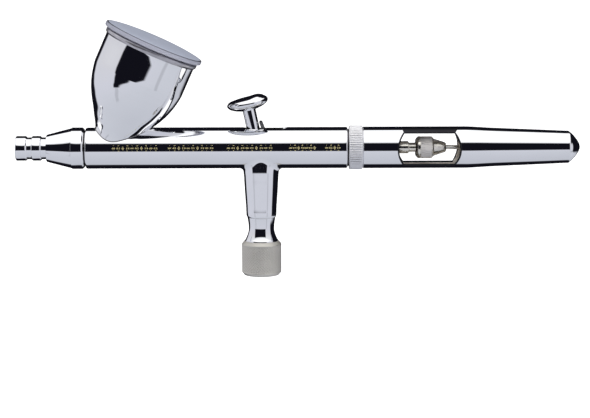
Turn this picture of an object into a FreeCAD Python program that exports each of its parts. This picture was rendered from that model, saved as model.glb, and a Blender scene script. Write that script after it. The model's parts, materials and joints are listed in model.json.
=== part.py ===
import FreeCAD, Part
import os
import math
import Sketcher

# Gravity-feed double-action airbrush gun, in millimetres.
# +X runs from the nozzle to the handle's tail, +Z is up, and the origin is the
# centre of the inlet adapter's mouth, at the bottom of the air stem.

V = FreeCAD.Vector
doc = FreeCAD.newDocument("airbrush")
sheet = doc.addObject("Spreadsheet::Sheet", "Sizes")
sheet.Label = "Sizes"
cells = {}


def size(alias, value):
    """Keep one driving dimension in the sheet, under a word."""
    row = len(cells) + 1
    sheet.set("A%d" % row, str(value))
    sheet.setAlias("A%d" % row, alias)
    cells[alias] = float(value)
    return float(value)


# Places and angles that several pieces share
size("axis_height", 37.5)
size("cup_tilt_deg", 24.0)
size("cup_rim_at", -30.7)
size("cup_rim_height", 31.2)
size("trigger_lean_deg", 12.0)
size("trigger_pivot_drop", -5.0)
size("barrel_rad", 6.0)
doc.recompute()

parts = []


def plane(body, role):
    for feature in body.Origin.OriginFeatures:
        if feature.Role == role:
            return feature


def new_body(label, base=None, lean=None):
    """A body on the barrel's axis, or at a base of expressions with a lean about Y."""
    body = doc.addObject("PartDesign::Body", label + "_piece")
    body.Label = label
    x, z = base or ("0", "Sizes.axis_height")
    body.Placement = FreeCAD.Placement(V(0, 0, 0), FreeCAD.Rotation(V(0, 1, 0), 0.001))
    if lean is None:
        body.Placement = FreeCAD.Placement(V(0, 0, 0), FreeCAD.Rotation())
    else:
        body.Placement = FreeCAD.Placement(V(0, 0, 0), FreeCAD.Rotation(V(0, 1, 0), lean))
    if x != "0":
        body.setExpression("Placement.Base.x", x)
    body.setExpression("Placement.Base.z", z)
    parts.append(body)
    return body


def bind(sketch, kind, index, end, alias, value):
    k = sketch.addConstraint(Sketcher.Constraint(kind, -1, 1, index, end, value))
    sketch.renameConstraint(k, "size_%d" % k)
    sketch.setExpression("Constraints.size_%d" % k, "Sizes." + alias)


def polygon(body, name, role, points, offset=None):
    """A closed sketch of straight sides. points: (word, x, y); every corner is bound to the sheet."""
    sketch = body.newObject("Sketcher::SketchObject", name)
    sketch.AttachmentSupport = [(plane(body, role), "")]
    sketch.MapMode = "FlatFace"
    if offset is not None:
        sketch.AttachmentOffset = FreeCAD.Placement(V(0, 0, offset), FreeCAD.Rotation())
    n = len(points)
    for i in range(n):
        a, b = points[i], points[(i + 1) % n]
        sketch.addGeometry(Part.LineSegment(V(a[1], a[2], 0), V(b[1], b[2], 0)), False)
    for i in range(n):
        sketch.addConstraint(Sketcher.Constraint("Coincident", i, 2, (i + 1) % n, 1))
    for i, (word, x, y) in enumerate(points):
        alias = name + "_" + word
        if abs(x) < 1e-9:
            sketch.addConstraint(Sketcher.Constraint("PointOnObject", i, 1, -2))
        else:
            size(alias + "_across", x)
            bind(sketch, "DistanceX", i, 1, alias + "_across", x)
        if abs(y) < 1e-9:
            sketch.addConstraint(Sketcher.Constraint("PointOnObject", i, 1, -1))
        else:
            size(alias + "_up", y)
            bind(sketch, "DistanceY", i, 1, alias + "_up", y)
    return sketch


def turn(body, name, points, about="X", cut=False, angle=360.0, both=False):
    """Turn a closed profile. points: (word, along the axis, radius)."""
    if about == "X":
        corners = [(w, a, r) for w, a, r in points]
    else:
        corners = [(w, r, a) for w, a, r in points]
    sketch = polygon(body, name, "XZ_Plane", corners)
    kind = "PartDesign::Groove" if cut else "PartDesign::Revolution"
    feature = body.newObject(kind, name + "_turned")
    feature.Profile = (sketch, [""])
    feature.ReferenceAxis = (sketch, ["H_Axis" if about == "X" else "V_Axis"])
    feature.Angle = angle
    if both:
        feature.Midplane = True
    sketch.Visibility = False
    return feature


def pocket(body, name, sketch, both=True, flip=False, length=None):
    before = body.Shape.Volume
    feature = body.newObject("PartDesign::Pocket", name)
    feature.Profile = (sketch, [""])
    if length is None:
        feature.Type = 1
    else:
        feature.Type = 0
        feature.Length = length
    feature.Midplane = both
    feature.Reversed = flip
    doc.recompute()
    if before - body.Shape.Volume < 1e-3:
        raise RuntimeError(name + " cuts nothing")
    return feature


def ring_of(body, name, feature, count):
    pattern = body.newObject("PartDesign::PolarPattern", name)
    pattern.Originals = [feature]
    pattern.Axis = (plane(body, "X_Axis"), [""])
    pattern.Angle = 360
    size(name + "_count", count)
    pattern.Occurrences = count
    pattern.setExpression("Occurrences", "Sizes." + name + "_count")
    body.Tip = pattern
    doc.recompute()
    return pattern


def washer(label, near, far, inner, outer, about="X"):
    body = new_body(label)
    turn(body, label, [("near_in", near, inner), ("near_out", near, outer),
                       ("far_out", far, outer), ("far_in", far, inner)], about)
    return body


def coil(label, start, length, turns, radius, wire, about):
    """A helical spring along X or Z."""
    body = new_body(label)
    sketch = body.newObject("Sketcher::SketchObject", label + "_wire")
    sketch.AttachmentSupport = [(plane(body, "XZ_Plane"), "")]
    sketch.MapMode = "FlatFace"
    at = V(start, radius, 0) if about == "X" else V(radius, start, 0)
    sketch.addGeometry(Part.Circle(at, V(0, 0, 1), wire), False)
    size(label + "_start", start)
    size(label + "_coil_rad", radius)
    size(label + "_wire_rad", wire)
    size(label + "_free_length", length)
    size(label + "_turns", turns)
    along, out = ("DistanceX", "DistanceY") if about == "X" else ("DistanceY", "DistanceX")
    bind(sketch, along, 0, 3, label + "_start", start)
    bind(sketch, out, 0, 3, label + "_coil_rad", radius)
    k = sketch.addConstraint(Sketcher.Constraint("Radius", 0, wire))
    sketch.renameConstraint(k, "wire")
    sketch.setExpression("Constraints.wire", "Sizes." + label + "_wire_rad")
    doc.recompute()
    helix = body.newObject("PartDesign::AdditiveHelix", label + "_coils")
    helix.Profile = (sketch, [""])
    helix.ReferenceAxis = (sketch, ["H_Axis" if about == "X" else "V_Axis"])
    helix.Mode = 1
    helix.Pitch = length / turns
    helix.Height = length
    helix.Turns = turns
    helix.Growth = 0
    helix.setExpression("Height", "Sizes." + label + "_free_length")
    helix.setExpression("Turns", "Sizes." + label + "_turns")
    doc.recompute()
    return body


# ---------------------------------------------------------------- body
body = new_body("body")
turn(body, "barrel", [
    ("front_axis", -51.04, 0), ("front_face", -51.04, 5.5), ("front_edge", -50.54, 6.0),
    ("rear_edge", 24.7, 6.0), ("rear_face", 25.2, 5.5), ("rear_axis", 25.2, 0)])
turn(body, "stem", [
    ("top_axis", -0.5, 0), ("top", -0.5, 5.15), ("taper_top", -7.5, 5.15), ("taper_low", -17.0, 4.5),
    ("chamfer", -19.9, 4.4), ("foot", -20.4, 4.15), ("foot_axis", -20.4, 0)], about="Z")
doc.recompute()
# the blend where the air stem leaves the barrel
edges = []
for i, e in enumerate(body.Shape.Edges):
    box = e.BoundBox
    if box.XMin > -6 and box.XMax < 6 and 33.0 > box.ZMax and box.ZMin > 29.4 and box.YLength > 5:
        edges.append("Edge%d" % (i + 1))
    elif box.XMin > -6 and box.XMax < 6 and box.ZMax < 35.5 and box.ZMin > 31.0 and box.YLength > 5:
        edges.append("Edge%d" % (i + 1))
if edges:
    blend = body.newObject("PartDesign::Fillet", "stem_blend")
    blend.Base = (body.Tip, edges)
    size("stem_blend_rad", 1.0)
    blend.Radius = 1.0
    blend.setExpression("Radius", "Sizes.stem_blend_rad")
    doc.recompute()
    if "Invalid" in blend.State or blend.Shape.isNull():
        body.removeObject(blend)
        doc.removeObject(blend.Name)
        doc.recompute()
# nozzle thread, seal seat, paint passage, packing bore, trigger chamber, spring case thread
turn(body, "bore", [
    ("mouth_axis", -53.0, 0), ("mouth", -53.0, 5.0), ("thread_end", -48.6, 5.0),
    ("seal_front", -48.6, 3.0), ("seal_back", -47.8, 3.0), ("paint_front", -47.8, 1.9),
    ("paint_back", -35.0, 1.9), ("packing_front", -35.0, 2.4), ("packing_back", -9.0, 2.4),
    ("chamber_front", -9.0, 3.1), ("chamber_back", 9.0, 3.1), ("case_front", 9.0, 4.6),
    ("case_back", 27.0, 4.6), ("rear_axis", 27.0, 0)], cut=True)
turn(body, "air_bore", [
    ("top_axis", 0.0, 0), ("chamber_top", 0.0, 3.3), ("chamber_low", -9.5, 3.3),
    ("piston_top", -9.5, 2.5), ("piston_low", -15.0, 2.5), ("valve_top", -15.0, 3.9),
    ("valve_low", -22.0, 3.9), ("low_axis", -22.0, 0)], about="Z", cut=True)
doc.recompute()
# the slot that the trigger and the lever stand in
slot = body.newObject("Sketcher::SketchObject", "trigger_slot")
slot.AttachmentSupport = [(plane(body, "XY_Plane"), "")]
slot.MapMode = "FlatFace"
size("slot_front", -3.35)
size("slot_rear", 5.5)
size("slot_half", 2.1)
sf, sr, hw = -3.35, 5.5, 2.1
slot.addGeometry(Part.LineSegment(V(sf, hw, 0), V(sr, hw, 0)), False)
slot.addGeometry(Part.LineSegment(V(sf, -hw, 0), V(sr, -hw, 0)), False)
slot.addGeometry(Part.Arc(V(sf, hw, 0), V(sf - hw, 0, 0), V(sf, -hw, 0)), False)
slot.addGeometry(Part.Arc(V(sr, -hw, 0), V(sr + hw, 0, 0), V(sr, hw, 0)), False)
for g, e, alias, value, axis in (
        (0, 1, "slot_front", sf, "DistanceX"), (0, 1, "slot_half", hw, "DistanceY"),
        (0, 2, "slot_rear", sr, "DistanceX"), (0, 2, "slot_half", hw, "DistanceY"),
        (1, 1, "slot_front", sf, "DistanceX"), (1, 2, "slot_rear", sr, "DistanceX")):
    bind(slot, axis, g, e, alias, value)
doc.recompute()
pocket(body, "trigger_slot_cut", slot, both=False, flip=True, length=8.0)
# the cup's throat, down to the paint passage
throat = body.newObject("PartDesign::SubtractiveCylinder", "throat")
size("throat_rad", 2.5)
throat.Radius = 2.5
throat.setExpression("Radius", "Sizes.throat_rad")
throat.Height = 14.0
drop = cells["cup_rim_height"] / math.cos(math.radians(cells["cup_tilt_deg"]))
meet = cells["cup_rim_at"] - drop * math.sin(math.radians(cells["cup_tilt_deg"]))
throat.Placement = FreeCAD.Placement(
    V(meet, 0, 0), FreeCAD.Rotation(V(0, 1, 0), cells["cup_tilt_deg"]))
doc.recompute()

# ---------------------------------------------------------------- paint cup and lid
cup_base = ("Sizes.cup_rim_at", "Sizes.axis_height + Sizes.cup_rim_height")
cup = new_body("paint_cup", cup_base, cells["cup_tilt_deg"])
turn(cup, "cup", [
    ("rim_in", -1.2, 12.7), ("rim_out", -1.2, 13.3), ("lip_step", -1.6, 13.5), ("lip_top", -1.7, 14.0),
    ("lip_edge", -1.85, 14.12), ("lip_low", -2.6, 14.05), ("lip_under", -3.0, 13.6), ("wall_low", -11.7, 13.6),
    ("bowl_one", -13.2, 13.38), ("bowl_two", -16.0, 12.85), ("bowl_three", -18.2, 12.15),
    ("bowl_four", -20.3, 11.2), ("bowl_five", -22.2, 10.2), ("bowl_six", -24.4, 8.86),
    ("bowl_seven", -26.4, 7.75), ("bowl_eight", -28.45, 6.55), ("bowl_nine", -29.7, 5.95),
    ("foot_top", -31.0, 5.5), ("foot_low", -33.8, 4.8), ("throat_low", -33.8, 2.5),
    ("throat_top", -29.6, 2.5), ("floor_one", -28.4, 4.6), ("floor_two", -26.4, 6.3),
    ("floor_three", -24.0, 8.0), ("floor_four", -21.8, 9.4), ("floor_five", -19.6, 10.6),
    ("floor_six", -17.4, 11.5), ("floor_seven", -15.2, 12.1), ("wall_in_low", -12.0, 12.7)],
    about="Z")
doc.recompute()
saddle = cup.newObject("PartDesign::SubtractiveCylinder", "cup_saddle")
saddle.Radius = 6.0
saddle.setExpression("Radius", "Sizes.barrel_rad")
saddle.Height = 60.0
cup_place = FreeCAD.Placement(
    V(cells["cup_rim_at"], 0, cells["axis_height"] + cells["cup_rim_height"]),
    FreeCAD.Rotation(V(0, 1, 0), cells["cup_tilt_deg"]))
barrel_place = FreeCAD.Placement(
    V(-75.0, 0, cells["axis_height"]), FreeCAD.Rotation(V(0, 1, 0), 90))
saddle.Placement = cup_place.inverse().multiply(barrel_place)
doc.recompute()

lid = new_body("cup_lid", cup_base, cells["cup_tilt_deg"])
turn(lid, "lid", [
    ("vent_low", -0.3, 0.6), ("under", -0.55, 11.7), ("skirt_in", -4.2, 11.9),
    ("skirt_out", -4.2, 12.45), ("skirt_top", -1.17, 12.6), ("flange_under", -1.17, 14.75),
    ("flange_low", -0.95, 14.95), ("flange_high", -0.05, 14.95), ("flange_top", 0.15, 14.7),
    ("dome_edge", 0.36, 13.4), ("dome_one", 0.58, 11.5), ("dome_two", 0.76, 8.0), ("dome_three", 0.84, 4.0),
    ("vent_high", 0.86, 0.6)],
    about="Z")

# ---------------------------------------------------------------- head
needle_cap = new_body("needle_cap")
turn(needle_cap, "needle_cap_wall", [
    ("mouth_in", -71.45, 2.3), ("mouth_out", -71.45, 3.35), ("front_edge", -71.2, 3.6),
    ("front_end", -68.5, 3.6), ("groove_one", -68.24, 3.2), ("groove_two", -66.8, 3.2),
    ("mid_front", -66.55, 3.6), ("mid_end", -64.3, 3.6), ("groove_three", -64.05, 3.2),
    ("seat_out", -62.55, 3.2), ("seat_in", -62.55, 2.65), ("step_out", -66.7, 2.65),
    ("step_in", -66.7, 2.0), ("bell", -70.6, 2.0)])

nozzle_cap = new_body("nozzle_cap")
turn(nozzle_cap, "nozzle_cap_wall", [
    ("nose_in", -66.4, 0.9), ("nose_out", -66.4, 2.3), ("nose_edge", -66.1, 2.6),
    ("nose_back", -62.5, 2.6), ("cone_front", -62.5, 3.95), ("cone_back", -55.1, 5.85),
    ("collar_front", -55.0, 6.05), ("collar_back", -52.06, 6.05), ("collar_edge", -51.5, 5.55),
    ("shoulder", -51.5, 5.0), ("thread_back", -48.6, 5.0), ("thread_in", -48.6, 3.3),
    ("chamber_back", -56.5, 3.3), ("chamber_front", -63.5, 1.9)])

nozzle = new_body("nozzle")
turn(nozzle, "nozzle_wall", [
    ("tip_in", -66.9, 0.25), ("tip_out", -66.9, 0.42), ("cone", -59.5, 1.6), ("shank", -55.5, 2.2),
    ("flange_front", -52.0, 2.4), ("flange_out", -52.0, 3.3), ("flange_back", -48.6, 3.3),
    ("rear_in", -48.6, 1.5), ("funnel", -60.0, 0.9)])
washer("nozzle_seal", -48.6, -47.8, 1.6, 3.0)
washer("needle_packing", -38.0, -35.0, 0.64, 1.9)

screw = new_body("packing_screw")
turn(screw, "packing_screw_wall", [
    ("front_in", -35.0, 0.8), ("front_out", -35.0, 2.4), ("back_out", -30.0, 2.4), ("back_in", -30.0, 0.8)])
doc.recompute()
driver = polygon(screw, "driver_slot", "XY_Plane", [
    ("front_left", -31.2, -0.35), ("back_left", -29.5, -0.35), ("back_right", -29.5, 0.35),
    ("front_right", -31.2, 0.35)])
doc.recompute()
pocket(screw, "driver_slot_cut", driver)

needle = new_body("needle")
turn(needle, "needle_rod", [
    ("tip_axis", -70.2, 0), ("tip", -70.2, 0.03), ("taper", -58.0, 0.6), ("tail", 71.6, 0.6),
    ("tail_edge", 72.0, 0.3), ("tail_axis", 72.0, 0)])

# ---------------------------------------------------------------- needle carriage
guide = new_body("chucking_guide")
turn(guide, "guide", [
    ("front_in", 3.95, 0.64), ("front_out", 3.95, 1.5), ("spigot", 4.15, 1.7), ("head_front", 5.2, 1.7),
    ("head_edge", 5.2, 2.7), ("head_out", 5.5, 3.0), ("head_back", 8.4, 3.0), ("rod_front", 8.4, 1.8),
    ("rod_back", 42.9, 1.8), ("rod_step", 43.1, 1.35), ("collet_back", 47.0, 1.35), ("back_in", 47.0, 0.62)])
doc.recompute()
split = polygon(guide, "collet_slit", "XZ_Plane", [
    ("front_low", 43.6, -0.15), ("back_low", 48.0, -0.15), ("back_high", 48.0, 0.15), ("front_high", 43.6, 0.15)])
doc.recompute()
pocket(guide, "collet_slit_cut", split)

coil("needle_spring", 9.3, 18.6, 11, 2.35, 0.22, "X")

case = new_body("spring_case")
turn(case, "case", [
    ("front_in", 9.0, 3.04), ("front_out", 9.0, 4.6), ("thread_back", 25.2, 4.6), ("flange", 25.2, 5.4),
    ("flange_back", 29.2, 5.4), ("flange_edge", 29.4, 5.2), ("back_out", 30.4, 5.2), ("end", 30.4, 3.4),
    ("end_in", 30.4, 1.88), ("wall_in", 28.8, 1.88), ("wall_out", 28.8, 3.04)])

nut = new_body("chuck_nut")
turn(nut, "nut", [
    ("front_in", 45.0, 1.38), ("front_out", 45.0, 2.5), ("front_edge", 45.7, 3.2), ("band_front", 46.5, 3.2),
    ("band_low_front", 46.6, 3.1), ("band_low_back", 49.3, 3.1), ("band_back", 49.4, 3.2),
    ("back_edge", 49.9, 3.2), ("back_out", 50.2, 2.6), ("tail_front", 50.2, 2.6),
    ("tail_back", 53.4, 1.5), ("tail_end", 53.9, 1.25), ("tail_in", 53.9, 0.64), ("seat_in", 47.3, 0.64),
    ("seat_out", 47.2, 1.38)][:9] + [
    ("tail_back", 53.4, 1.5), ("tail_end", 53.9, 1.25), ("tail_in", 53.9, 0.64), ("seat_in", 47.3, 0.64),
    ("seat_out", 47.2, 1.38)])
doc.recompute()
flute = polygon(nut, "nut_flute", "YZ_Plane", [
    ("left", -0.24, 3.3), ("right", 0.24, 3.3), ("low", 0.0, 2.92)], offset=45.0)
doc.recompute()
flute_cut = pocket(nut, "nut_flute_cut", flute, both=False, flip=True, length=5.0)
ring_of(nut, "nut_flutes", flute_cut, 20)

# ---------------------------------------------------------------- handle
handle = new_body("handle")
turn(handle, "handle_wall", [
    ("front_in", 29.58, 5.25), ("front_out", 29.58, 5.8), ("front_edge", 29.9, 6.05), ("grip_back", 59.7, 6.05),
    ("taper_one", 62.5, 5.93), ("taper_two", 66.7, 5.67), ("taper_three", 72.55, 5.42),
    ("taper_four", 78.4, 5.175), ("taper_five", 84.2, 4.925), ("taper_six", 87.1, 4.78),
    ("end_out", 89.75, 4.7), ("end_in", 89.75, 3.0), ("cavity_back", 82.0, 3.0),
    ("cavity_mid", 64.0, 3.9), ("cavity_front", 60.5, 4.95), ("step_back", 31.0, 4.95), ("step_front", 31.0, 5.25)])
doc.recompute()
window = handle.newObject("Sketcher::SketchObject", "window")
window.AttachmentSupport = [(plane(handle, "XZ_Plane"), "")]
window.MapMode = "FlatFace"
size("window_left", 41.5)
size("window_right", 56.2)
size("window_half", 4.67)
size("window_end_rad", 7.26)
wl, wr, wh, we = 41.5, 56.2, 4.67, 7.26
window.addGeometry(Part.LineSegment(V(wl, wh, 0), V(wr, wh, 0)), False)
window.addGeometry(Part.LineSegment(V(wl, -wh, 0), V(wr, -wh, 0)), False)
reach = math.sqrt(we * we - wh * wh)
left_mid, right_mid = V(wl + reach - we, 0, 0), V(wr - reach + we, 0, 0)
window.addGeometry(Part.Arc(V(wl, wh, 0), left_mid, V(wl, -wh, 0)), False)
window.addGeometry(Part.Arc(V(wr, -wh, 0), right_mid, V(wr, wh, 0)), False)
for g, e, alias, value, axis in (
        (0, 1, "window_left", wl, "DistanceX"), (0, 1, "window_half", wh, "DistanceY"),
        (0, 2, "window_right", wr, "DistanceX"), (0, 2, "window_half", wh, "DistanceY"),
        (1, 1, "window_left", wl, "DistanceX"), (1, 2, "window_right", wr, "DistanceX")):
    bind(window, axis, g, e, alias, value)
doc.recompute()
pocket(handle, "window_cut", window)

knurl_ring = new_body("handle_ring")
turn(knurl_ring, "ring", [
    ("front_in", 25.6, 5.46), ("front_out", 25.6, 6.05), ("front_edge", 25.95, 6.4), ("back_edge", 29.2, 6.4),
    ("back_out", 29.58, 6.05), ("back_in", 29.58, 5.46)])
doc.recompute()
notch = polygon(knurl_ring, "ring_flute", "YZ_Plane", [
    ("left", -0.26, 6.5), ("right", 0.26, 6.5), ("low", 0.0, 6.02)], offset=25.0)
doc.recompute()
notch_cut = pocket(knurl_ring, "ring_flute_cut", notch, both=False, flip=True, length=6.0)
ring_of(knurl_ring, "ring_flutes", notch_cut, 56)

end_cap = new_body("handle_end_cap")
turn(end_cap, "tail_cap", [
    ("plug_axis", 85.0, 0), ("plug", 85.0, 2.98), ("plug_back", 89.75, 2.98), ("edge_front", 89.75, 4.55),
    ("dome_one", 90.1, 4.3), ("dome_two", 90.55, 3.95), ("dome_three", 90.95, 3.55), ("dome_four", 91.4, 3.05),
    ("dome_five", 91.8, 2.55), ("dome_six", 92.2, 2.0), ("dome_seven", 92.6, 1.35), ("dome_eight", 92.9, 0.65),
    ("dome_tip", 93.0, 0)])

# ---------------------------------------------------------------- trigger and lever
trig_base = ("0", "Sizes.axis_height + Sizes.trigger_pivot_drop")
stem_post = new_body("trigger_stem", trig_base, -cells["trigger_lean_deg"])
turn(stem_post, "post", [
    ("foot_axis", -1.9, 0), ("foot_one", -1.84, 0.5), ("foot_two", -1.64, 0.95), ("foot_three", -1.344, 1.343),
    ("foot_four", -0.95, 1.64), ("foot_five", -0.5, 1.83), ("foot_six", 0.0, 1.9), ("neck", 16.4, 1.9),
    ("spigot_low", 16.4, 1.4), ("spigot_top", 18.2, 1.4), ("top_axis", 18.2, 0)], about="Z")
doc.recompute()
toe = stem_post.newObject("PartDesign::AdditiveCylinder", "foot_roller")
size("foot_roller_rad", 1.87)
size("foot_roller_width", 2.6)
toe.Radius = 1.87
toe.setExpression("Radius", "Sizes.foot_roller_rad")
toe.Height = 2.6
toe.setExpression("Height", "Sizes.foot_roller_width")
toe.Placement = FreeCAD.Placement(V(0, 1.3, 0), FreeCAD.Rotation(V(1, 0, 0), 90))
doc.recompute()
fork = polygon(stem_post, "fork_slot", "YZ_Plane", [
    ("low_left", -0.85, 3.5), ("low_right", 0.85, 3.5), ("high_right", 0.85, 9.8), ("high_left", -0.85, 9.8)])
doc.recompute()
pocket(stem_post, "fork_slot_cut", fork)

button = new_body("trigger_button", trig_base, -cells["trigger_lean_deg"])
turn(button, "button", [
    ("socket_top", 18.2, 0), ("socket_edge", 18.2, 1.4), ("socket_low", 16.4, 1.4), ("neck", 16.4, 2.0),
    ("under_one", 16.6, 2.9), ("under_two", 16.95, 4.1), ("under_three", 17.45, 5.15), ("edge_low", 17.95, 5.75),
    ("edge_mid", 18.5, 6.05), ("edge_high", 19.05, 5.92), ("edge_top", 19.5, 5.5), ("crown_out", 19.85, 4.8),
    ("crown_mid", 20.0, 4.0), ("crown_in", 19.98, 3.2), ("dish_one", 19.8, 2.2), ("dish_two", 19.6, 0)], about="Z")
turn(button, "button_ridge", [
    ("in_low", 19.5, 2.0), ("in_high", 20.1, 2.5), ("top_in", 20.38, 2.95), ("top_out", 20.42, 3.6),
    ("out_high", 20.1, 4.5), ("out_low", 19.4, 5.3)], about="Z", angle=120.0, both=True)

lever = new_body("auxiliary_lever")
blade = polygon(lever, "lever_side", "XZ_Plane", [
    ("foot_front", 2.75, -2.1), ("knee_front", 1.95, 0.8), ("top_front", -0.48, 7.5), ("crown_front", -0.4, 7.75),
    ("crown_back", 0.1, 7.85), ("top_back", 0.4, 7.6), ("knee_back", 2.95, 0.9), ("foot_back", 3.75, -2.1)])
pad = lever.newObject("PartDesign::Pad", "lever_plate")
pad.Profile = (blade, [""])
size("lever_width", 3.2)
pad.Length = 3.2
pad.setExpression("Length", "Sizes.lever_width")
pad.Midplane = True
doc.recompute()
heel = lever.newObject("PartDesign::AdditiveCylinder", "lever_heel")
size("lever_heel_rad", 0.5)
heel.Radius = 0.5
heel.setExpression("Radius", "Sizes.lever_heel_rad")
heel.Height = 3.2
heel.setExpression("Height", "Sizes.lever_width")
heel.Placement = FreeCAD.Placement(V(3.3, 1.6, -1.9), FreeCAD.Rotation(V(1, 0, 0), 90))
doc.recompute()
eye = polygon(lever, "lever_eye", "YZ_Plane", [
    ("low_left", -0.85, -1.3), ("low_right", 0.85, -1.3), ("high_right", 0.85, 2.3), ("high_left", -0.85, 2.3)])
doc.recompute()
pocket(lever, "lever_eye_cut", eye)

# ---------------------------------------------------------------- air valve
piston = new_body("valve_piston")
turn(piston, "piston", [
    ("socket_axis", -6.95, 0), ("socket_one", -6.87, 0.55), ("socket_two", -6.66, 1.03),
    ("socket_three", -6.2, 1.54), ("rim_in", -6.2, 1.56), ("rim_out", -6.2, 2.25), ("edge", -6.4, 2.45),
    ("head_low", -10.2, 2.45), ("rod_top", -10.2, 1.2), ("rod_low", -14.6, 1.2), ("rod_axis", -14.6, 0)][:3] + [
    ("rim_in", -6.2, 1.58), ("rim_out", -6.2, 2.25), ("edge", -6.4, 2.45),
    ("head_low", -10.2, 2.45), ("rod_top", -10.2, 1.2), ("rod_low", -14.6, 1.2), ("rod_axis", -14.6, 0)], about="Z")
doc.recompute()
trough = piston.newObject("PartDesign::SubtractiveCylinder", "piston_trough")
size("piston_trough_rad", 1.96)
trough.Radius = 1.96
trough.setExpression("Radius", "Sizes.piston_trough_rad")
trough.Height = 8.0
trough.Placement = FreeCAD.Placement(V(0, 4.0, -5.0), FreeCAD.Rotation(V(1, 0, 0), 90))
doc.recompute()
washer("piston_packing", -15.0, -13.6, 1.23, 2.5, about="Z")
washer("valve_body_gasket", -15.6, -15.0, 1.4, 3.9, about="Z")

valve_body = new_body("air_valve_body")
turn(valve_body, "valve_wall", [
    ("top_in", -15.6, 1.3), ("top_out", -15.6, 3.9), ("shoulder_in", -20.4, 3.9), ("shoulder", -20.4, 4.1),
    ("neck_one", -21.2, 3.98), ("neck_two", -22.0, 3.86), ("neck_three", -22.8, 3.77), ("neck_four", -23.6, 3.72),
    ("flare_one", -24.3, 3.75), ("flare_two", -25.0, 3.89), ("flare_three", -25.8, 4.14), ("flare_four", -26.5, 4.44),
    ("flare_five", -27.1, 4.75), ("thread_top", -27.3, 4.85), ("thread_low", -32.3, 4.85), ("low_in", -32.3, 2.6),
    ("seat_out", -19.2, 2.6), ("seat_in", -19.2, 1.3)], about="Z")

plunger = new_body("valve_stem")
turn(plunger, "plunger", [
    ("top_axis", -14.75, 0), ("top", -14.75, 0.95), ("collar_top", -19.95, 0.95), ("collar_out", -19.95, 1.9),
    ("collar_low", -21.35, 1.9), ("tail_top", -21.35, 0.92), ("tail_low", -27.6, 0.92), ("tail_axis", -27.6, 0)],
    about="Z")
washer("valve_seal", -19.95, -19.25, 0.95, 1.85, about="Z")
coil("valve_spring", -27.85, 6.2, 7, 1.55, 0.2, "Z")
guide_screw = new_body("valve_guide_screw")
turn(guide_screw, "guide_screw_wall", [
    ("top_in", -28.3, 0.98), ("top_out", -28.3, 2.6), ("low_out", -31.3, 2.6), ("low_in", -31.3, 0.98)], about="Z")
doc.recompute()
vent = polygon(guide_screw, "air_slot", "XY_Plane", [
    ("near_left", -0.4, -3.0), ("near_right", 0.4, -3.0), ("far_right", 0.4, 3.0), ("far_left", -0.4, 3.0)],
    offset=-29.9)
doc.recompute()
pocket(guide_screw, "air_slot_cut", vent, both=False, flip=False, length=3.0)
washer("inlet_gasket", -33.1, -32.3, 2.8, 4.85, about="Z")

adapter = new_body("inlet_adapter")
turn(adapter, "adapter", [
    ("top_in", -27.4, 4.85), ("top_out", -27.4, 4.95), ("top_edge", -28.5, 5.82), ("low_edge", -36.6, 5.82),
    ("low_out", -37.5, 5.1), ("mouth", -37.5, 4.28), ("thread_top", -33.1, 4.28), ("shoulder", -33.1, 4.85)],
    about="Z")

# ---------------------------------------------------------------- write the files
doc.recompute()
for o in doc.Objects:
    if "Invalid" in o.State or "Error" in o.State:
        raise RuntimeError("%s: %s" % (o.Name, o.State))
os.makedirs("parts", exist_ok=True)
for p in parts:
    if p.Shape.isNull() or not p.Shape.isValid() or len(p.Shape.Solids) != 1:
        raise RuntimeError("%s: bad shape, %d solids" % (p.Label, len(p.Shape.Solids)))
    p.Shape.exportStep("parts/%s.step" % p.Label)
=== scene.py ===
import bpy
import bmesh
import json
import math
from mathutils import Vector, Matrix


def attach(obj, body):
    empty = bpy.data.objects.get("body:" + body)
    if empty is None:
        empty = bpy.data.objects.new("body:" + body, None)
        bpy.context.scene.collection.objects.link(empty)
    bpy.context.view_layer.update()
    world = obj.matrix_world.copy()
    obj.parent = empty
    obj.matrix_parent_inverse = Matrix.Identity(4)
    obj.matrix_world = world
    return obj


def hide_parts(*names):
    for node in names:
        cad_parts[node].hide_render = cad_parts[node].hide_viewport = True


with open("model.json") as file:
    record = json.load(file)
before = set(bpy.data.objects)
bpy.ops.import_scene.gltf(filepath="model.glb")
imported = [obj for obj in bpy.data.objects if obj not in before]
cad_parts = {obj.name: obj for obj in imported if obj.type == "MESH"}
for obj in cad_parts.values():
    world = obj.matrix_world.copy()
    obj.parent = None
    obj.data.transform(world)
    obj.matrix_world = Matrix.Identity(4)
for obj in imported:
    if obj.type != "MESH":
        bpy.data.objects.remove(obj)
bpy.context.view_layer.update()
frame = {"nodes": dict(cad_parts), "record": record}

MM = 0.001
AXIS = 37.5          # height of the barrel's axis above the inlet's mouth, mm
NODES = frame["nodes"]
SEG = 192


# ------------------------------------------------------------------ materials
def new_material(name):
    m = bpy.data.materials.new(name)
    m.use_nodes = True
    nt = m.node_tree
    nt.nodes.clear()
    out = nt.nodes.new("ShaderNodeOutputMaterial")
    sh = nt.nodes.new("ShaderNodeBsdfPrincipled")
    nt.links.new(sh.outputs[0], out.inputs[0])
    return m, nt, sh


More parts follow.
